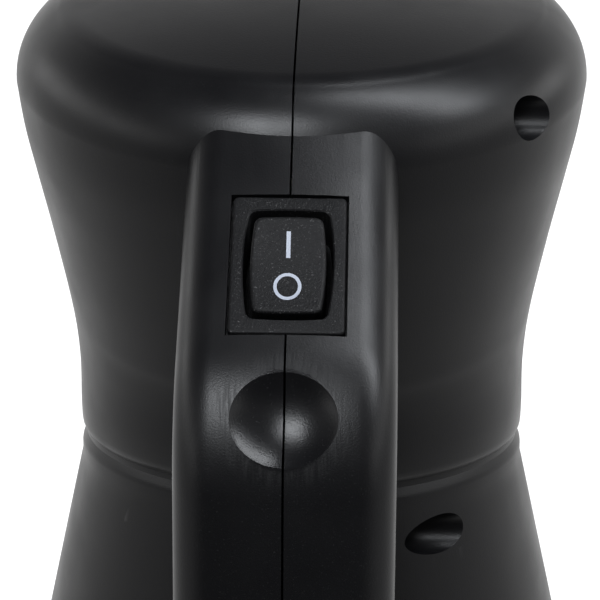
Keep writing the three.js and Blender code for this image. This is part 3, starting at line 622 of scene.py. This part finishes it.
def build_housing():
    burnish_round_dimple(MATERIALS["housing_plastic"])
    envelope = boolean(outer_body(), "UNION", handle_solid("handle", 0))
    shell = copy_of(envelope, "shell")
    boolean(shell, "DIFFERENCE", inner_body(), handle_solid("handle_inside", WALL))
    gear_room = rod("hole", GEAR_ROOM_RADIUS, "z", (0, 0, 0), 60, 70, 96)
    gear_ledge = boolean(ledge(*GEAR_LEDGE), "DIFFERENCE", gear_room)
    boolean(shell, "UNION", gear_ledge, ledge(*HEAD_LEDGE), ledge(*FOOT_LEDGE))
    for foot in FEET:
        x, y, _ = local(foot)
        boolean(shell, "DIFFERENCE", rod("foot_pocket", FOOT_POCKET_RADIUS, "z", (x, y, 0), 0, 3.2))
    for y, z, _, boss in SCREWS:
        post = rod("boss", boss, "x", (0, y, z), -46, 46)
        boolean(post, "INTERSECT", copy_of(envelope, "limit"))
        boolean(shell, "UNION", post)
    low, high = (-PAD_HALF, -PAD_HALF, -DIMPLE_DEPTH - WALL), (PAD_HALF, PAD_HALF, -1)
    pad = face_block("pad", DIMPLE_ALONG, low, high)
    boolean(pad, "INTERSECT", copy_of(envelope, "limit"))
    boolean(shell, "UNION", pad)
    cuts = [dimple_tool()]
    half_width, half_length = BEZEL_WIDTH / 2 + GAP, BEZEL_LENGTH / 2 + GAP
    pocket_floor = BEZEL_PROUD - BEZEL_THICKNESS - 0.1
    low, high = (-half_width, -half_length, pocket_floor), (half_width, half_length, 4)
    cuts.append(face_block("pocket", SWITCH_ALONG, low, high))
    half_width, half_length = SWITCH_BODY[0] / 2 + GAP, SWITCH_BODY[1] / 2 + GAP
    low, high = (-half_width, -half_length, -7), (half_width, half_length, 1)
    cuts.append(face_block("opening", SWITCH_ALONG, low, high))
    cuts.append(rod("can_arch", CAN_ARCH_RADIUS, "z", (0, CAN_ARCH_Y, 0), -2, CAN_ARCH_TOP, 192))
    lever_y = local("arm_pivot_pin")[1]
    low, high = (-64, lever_y - 7, LEVER_WINDOW_BOTTOM), (-44, lever_y + 22, LEVER_WINDOW_TOP)
    cuts.append(block("lever_window", low, high))
    gland = local("cord_gland")
    cuts.append(rod("gland_hole", GLAND_HOLE_RADIUS, "y", (gland[0], 0, gland[2]), 27.5, 43.5))
    for y, z, seat, _ in SCREWS:
        cuts.append(rod("screw_bore", BORE_RADIUS, "x", (0, y, z), seat, 60, 64))
        cuts.append(rod("pilot", PILOT_RADIUS, "x", (0, y, z), -8, seat + 1, 32))
    for screw in HEAD_SCREWS:
        x, y, _ = local(screw)
        cuts.append(rod("head_screw_hole", HEAD_HOLE_RADIUS, "z", (x, y, 0), 25, 31, 32))
    boolean(shell, "DIFFERENCE", *cuts)
    discard(envelope)
    for side, node, name in ((1, "housing_right", "right_shell"), (-1, "housing_left", "left_shell")):
        half = copy_of(shell, name)
        near, far = sorted((side * SEAM_GAP / 2, side * 100))
        boolean(half, "INTERSECT", block("half_space", (near, -150, -10), (far, 100, 200)))
        shade(half, 24)
        finish_piece(half, MATERIALS["housing_plastic"], "housing", "housing_plastic", node)
    discard(shell)


# ---------------------------------------------------------------- rocker switch

PADDLE_WIDTH, PADDLE_LENGTH, PADDLE_WAIST = 9.4, 13.5, 0.55
SCOOP_RADIUS = 46
SCOOP_FLOOR = 0.7
PIVOT_DEPTH = 3.2
PADDLE_CORNER = 0.9
PADDLE_EDGE = 0.45                 # rounding of the rim of its top face
PADDLE_FOOT, PADDLE_WAISTLINE = -5.4, -2.5
REST_TILT = math.radians(8)        # off: the lower end is pressed
WELL_WIDTH, WELL_LENGTH, WELL_WAIST, WELL_FLOOR, WELL_LIP = 11, 16.3, 0.75, -7.6, 0.5
BEZEL_EDGE, BEZEL_CORNER = 0.35, 0.7
MARK_LIFT, MARK_ROOT = 0.03, 0.05  # above and below the rocker's face
OFF_CENTRE, ON_CENTRE = -3.0, 2.95
OFF_OUTER, OFF_INNER = (1.82, 1.95), (1.38, 1.5)
ON_HALF_SIZE = 0.27, 1.85


def barrel_outline(width, length, waist, corner, steps=14):
    """A rectangle with softly bowed sides and rounded corners, as (x, uphill) points."""
    half_width, half_length = width / 2, length / 2
    outline = []
    corners = [(1, 1), (-1, 1), (-1, -1), (1, -1)]
    for quarter, (sx, sy) in enumerate(corners):
        for angle in steps_of(math.pi / 2, 6):
            turn = quarter * math.pi / 2 + angle
            x = sx * (half_width - corner) + corner * math.cos(turn)
            v = sy * (half_length - corner) + corner * math.sin(turn)
            outline.append((x, v))
        nx, ny = corners[(quarter + 1) % 4]
        start = outline[-1]
        end_turn = (quarter + 1) * math.pi / 2
        end = (nx * (half_width - corner) + corner * math.cos(end_turn),
               ny * (half_length - corner) + corner * math.sin(end_turn))
        for i in range(1, steps):
            t = i / steps
            outline.append((start[0] + (end[0] - start[0]) * t, start[1] + (end[1] - start[1]) * t))
    bowed = []
    for x, v in outline:
        side_bow = waist * (1 - (v / half_length) ** 2) * (x / half_width)
        end_bow = waist * 0.3 * (1 - (x / half_width) ** 2) * (v / half_length)
        bowed.append((x + side_bow - waist * (x / half_width) * 0.5, v + end_bow))
    return bowed


def scooped(v):
    return SCOOP_FLOOR + SCOOP_RADIUS - math.sqrt(SCOOP_RADIUS ** 2 - v ** 2)


def tilted(v, n):
    """Turns a point of the rocker about its pivot to the off position."""
    n += PIVOT_DEPTH
    turned_v = v * math.cos(REST_TILT) - n * math.sin(REST_TILT)
    turned_n = v * math.sin(REST_TILT) + n * math.cos(REST_TILT)
    return turned_v, turned_n - PIVOT_DEPTH


def rocker_point(x, v, n):
    v, n = tilted(v, n)
    return on_face(SWITCH_ALONG, x, v, n)


def build_rocker():
    edge = PADDLE_EDGE
    rings = []
    outline = barrel_outline(PADDLE_WIDTH, PADDLE_LENGTH, PADDLE_WAIST, PADDLE_CORNER)

    def ring(shrink, drop, floor=None):
        points = []
        for x, v in outline:
            sx = x * (1 - shrink / (PADDLE_WIDTH / 2))
            sv = v * (1 - shrink / (PADDLE_LENGTH / 2))
            n = floor if floor is not None else scooped(v) - drop
            points.append(rocker_point(sx, sv, n))
        return points

    rings.append(ring(0, 0, PADDLE_FOOT))
    rings.append(ring(0, 0, PADDLE_WAISTLINE))
    for angle in steps_of(math.pi / 2, 6):
        rings.append(ring(edge * (1 - math.cos(angle)), edge * (1 - math.sin(angle))))
    for i in range(1, 12):
        share = i / 12
        points = []
        for x, v in outline:
            sx = x * (1 - edge / (PADDLE_WIDTH / 2)) * (1 - share)
            sv = v * (1 - edge / (PADDLE_LENGTH / 2)) * (1 - share)
            points.append(rocker_point(sx, sv, scooped(sv)))
        rings.append(points)
    paddle = loft("rocker_paddle", rings, None, rocker_point(0, 0, scooped(0)))
    shade(paddle, 40)
    finish_piece(paddle, MATERIALS["switch_plastic"], "rocker", "switch_plastic", "switch_rocker")


def mark(name, outer, inner):
    """A printed mark: a thin skin that follows the rocker's scooped face."""
    count = len(outer)
    points, faces = [], []
    for outline in (outer, inner):
        for height in (MARK_LIFT, -MARK_ROOT):
            points += [rocker_point(x, v, scooped(v) + height) for x, v in outline]
    for k in range(count):
        n = (k + 1) % count
        a, b, c, d = 0, count, 2 * count, 3 * count
        faces.append((a + k, a + n, c + n, c + k))
        faces.append((b + k, d + k, d + n, b + n))
        faces.append((a + k, b + k, b + n, a + n))
        faces.append((c + k, c + n, d + n, d + k))
    piece = mesh_object(name, points, faces)
    shade(piece, 30)
    finish_piece(piece, MARK_PAINT, "rocker", "switch_plastic")


def build_marks():
    turn = [2 * math.pi * k / 72 for k in range(72)]
    rings = []
    for across, along in (OFF_OUTER, OFF_INNER):
        rings.append([(across * math.cos(a), OFF_CENTRE + along * math.sin(a)) for a in turn])
    mark("mark_off", *rings)
    half_width, half_length = ON_HALF_SIZE
    bar = []
    for a in turn:
        c, s = math.cos(a), math.sin(a)
        reach = max(abs(c), abs(s))
        bar.append((half_width * c / reach, ON_CENTRE + half_length * s / reach))
    core = [(x * 0.3, ON_CENTRE + (v - ON_CENTRE) * 0.9) for x, v in bar]
    mark("mark_on", bar, core)
    mark("mark_on_core", core, [(x * 0.05, ON_CENTRE + (v - ON_CENTRE) * 0.9) for x, v in core])


def build_bezel():
    flange_rings = []
    edge = BEZEL_EDGE

    def flange_ring(shrink, n):
        width, length = BEZEL_WIDTH - 2 * shrink, BEZEL_LENGTH - 2 * shrink
        outline = barrel_outline(width, length, 0.0, BEZEL_CORNER - shrink * 0.5)
        return [on_face(SWITCH_ALONG, x, v, n) for x, v in outline]

    flange_rings.append(flange_ring(0, BEZEL_PROUD - BEZEL_THICKNESS))
    for angle in steps_of(math.pi / 2, 5):
        shrink, drop = edge * (1 - math.cos(angle)), edge * (1 - math.sin(angle))
        flange_rings.append(flange_ring(shrink, BEZEL_PROUD - drop))
    frame_piece = loft("switch_bezel", flange_rings)
    width, length, depth = SWITCH_BODY
    top = BEZEL_PROUD - BEZEL_THICKNESS + 0.2
    low, high = (-width / 2, -length / 2, -depth), (width / 2, length / 2, top)
    body = face_block("switch_box", SWITCH_ALONG, low, high)
    boolean(frame_piece, "UNION", body)
    well_rings = []
    lip_start = BEZEL_PROUD - WELL_LIP
    lip_middle = BEZEL_PROUD - WELL_LIP * 0.3
    for n, grow in ((WELL_FLOOR, 0), (lip_start, 0), (lip_middle, 0.06), (BEZEL_PROUD, 0.22), (2, 0.9)):
        outline = barrel_outline(WELL_WIDTH + 2 * grow, WELL_LENGTH + 2 * grow, WELL_WAIST, PADDLE_CORNER)
        well_rings.append([on_face(SWITCH_ALONG, x, v, n) for x, v in outline])
    boolean(frame_piece, "DIFFERENCE", loft("well", well_rings))
    shade(frame_piece, 30)
    finish_piece(frame_piece, MATERIALS["switch_plastic"], "housing", "switch_plastic", "switch_frame")


# ---------------------------------------------------------------- smaller pieces

def build_arm_spring():
    """The torsion spring round the arm pivot, as a real helix."""
    low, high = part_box("arm_spring")
    wire = 0.35
    coil = (high.x - low.x) / 2 / MM - wire
    x, y, _ = local("arm_spring")
    bottom, top = low.z / MM + wire, high.z / MM - wire
    turns = 5
    rings = []
    steps = turns * 28
    for i in range(steps + 1):
        angle = 2 * math.pi * turns * i / steps
        rise = (top - bottom) * i / steps
        centre = Vector((x + coil * math.cos(angle), y + coil * math.sin(angle), bottom + rise))
        outward = Vector((math.cos(angle), math.sin(angle), 0))
        ring = []
        for k in range(10):
            a = 2 * math.pi * k / 10
            ring.append(tuple(centre + outward * wire * math.cos(a) + Vector((0, 0, wire * math.sin(a)))))
        rings.append(ring)
    spring = loft("arm_torsion_spring", rings)
    shade(spring, 60)
    finish_piece(spring, MATERIALS["steel"], "housing", "steel", "arm_spring")


def dress_cad_nodes():
    """Gives every CAD node that stays its material, smooth shading and softened edges."""
    slots = {row["node"]: row["material_slot"] for row in frame["record"]["subparts"]}
    replaced = {"housing_right", "housing_left", "switch_frame", "switch_rocker", "arm_spring"}
    soft_edges = {
        "lever_knob": 1.6, "cutter_arm": 0.3, "head_plate": 0.3, "drive_wheel": 0.15, "cutter_screw": 0.3,
        "cord_gland": 0.5, "magnet_cup": 0.3, "guide_post_left": 0.4, "guide_post_right": 0.4,
        "drive_nut": 0.3, **{foot: 0.5 for foot in FEET},
    }
    for name, node in frame["nodes"].items():
        if name in replaced:
            continue
        node.data.materials.clear()
        node.data.materials.append(MATERIALS[slots[name]])
        node.data.shade_smooth()
        weld = node.modifiers.new("weld", "WELD")
        weld.merge_threshold = 0.000002
        edge = node.modifiers.new("edge", "BEVEL")
        edge.width = soft_edges.get(name, 0.1) * MM
        edge.segments = 3 if name in soft_edges else 1
        edge.limit_method = "ANGLE"
        edge.angle_limit = math.radians(35)
        edge.use_clamp_overlap = True
        node.modifiers.new("normals", "WEIGHTED_NORMAL")


# ---------------------------------------------------------------- stage and light

FLOOR_HALF_SIZE = 30               # metres, so that its edge stays out of every view


def add_floor():
    """A plain pale floor, left out of the object's reflections."""
    size = FLOOR_HALF_SIZE
    floor = bpy.data.meshes.new("floor")
    corners = [(-size, -size, 0), (size, -size, 0), (size, size, 0), (-size, size, 0)]
    floor.from_pydata(corners, [], [(0, 1, 2, 3)])
    piece = bpy.data.objects.new("floor", floor)
    bpy.context.scene.collection.objects.link(piece)
    material, _, shader = new_material("pale_floor", (0.2, 0.2, 0.2), 0.6)
    shader.inputs["Specular IOR Level"].default_value = 0.1
    shader.inputs["Emission Color"].default_value = (1, 1, 1, 1)
    shader.inputs["Emission Strength"].default_value = 0.85
    floor.materials.append(material)
    piece.visible_glossy = False


STUDIO_TARGET = (0, -20, 130)
SOFTBOX_DISTANCE = 900
COOL = (0.93, 0.96, 1)
ROOM_STRENGTH = 1.13
FRONT_STRENGTH = 0.1       # share of the room's light left low in front of the handle


def add_softbox(name, azimuth, elevation, size, power, color=(1, 1, 1)):
    """An area light that faces the object; azimuth runs from the front to the right."""
    data = bpy.data.lights.new(name, "AREA")
    data.shape = "RECTANGLE"
    data.size, data.size_y = size
    data.energy = power
    data.color = color
    light = bpy.data.objects.new(name, data)
    bpy.context.scene.collection.objects.link(light)
    light.visible_camera = False
    turn, rise = math.radians(azimuth), math.radians(elevation)
    back = Vector((math.sin(turn) * math.cos(rise), -math.cos(turn) * math.cos(rise), math.sin(rise)))
    light.location = place(*STUDIO_TARGET) + back * SOFTBOX_DISTANCE * MM
    light.rotation_euler = back.to_track_quat("Z", "Y").to_euler()


def shade_front(tree, direction):
    """Room strength by direction: even, but dim low down in front of the handle."""
    toward_back = spread(tree, direction.outputs["Y"], -0.85, -0.45, FRONT_STRENGTH, 1)
    low_down = spread(tree, direction.outputs["Z"], 0.25, 0.5, 1, 0)
    loss = combine(tree, "MULTIPLY", combine(tree, "SUBTRACT", toward_back, 1.0), low_down)
    return combine(tree, "MULTIPLY", combine(tree, "ADD", loss, 1.0), ROOM_STRENGTH)


def add_studio():
    world = bpy.data.worlds.new("studio")
    world.use_nodes = True
    tree = world.node_tree
    coordinates = tree.nodes.new("ShaderNodeTexCoord")
    direction = tree.nodes.new("ShaderNodeSeparateXYZ")
    tree.links.new(coordinates.outputs["Generated"], direction.inputs["Vector"])
    ramp = tree.nodes.new("ShaderNodeValToRGB")
    ramp.color_ramp.elements[0].color = (1, 1, 1, 1)
    ramp.color_ramp.elements[0].position = 0.28
    ramp.color_ramp.elements[1].color = (0.12, 0.12, 0.13, 1)
    ramp.color_ramp.elements[1].position = 0.75
    tree.links.new(direction.outputs["Z"], ramp.inputs["Fac"])
    background = tree.nodes["Background"]
    tree.links.new(ramp.outputs["Color"], background.inputs["Color"])
    tree.links.new(shade_front(tree, direction), background.inputs["Strength"])
    bpy.context.scene.world = world
    add_softbox("key_softbox", -14, 47, (0.36, 0.3), 15, COOL)
    add_softbox("right_softbox", 78, 57, (0.2, 0.85), 20, COOL)
    add_softbox("left_horizon_strip", -88, 13, (1.5, 0.24), 3.5)
    add_softbox("right_horizon_strip", 88, 13, (1.5, 0.24), 3.5)
    bpy.context.scene.view_settings.view_transform = "Standard"


# ---------------------------------------------------------------- build

add_camera()
build_housing()
build_bezel()
build_rocker()
build_marks()
build_arm_spring()
dress_cad_nodes()
add_floor()
add_studio()
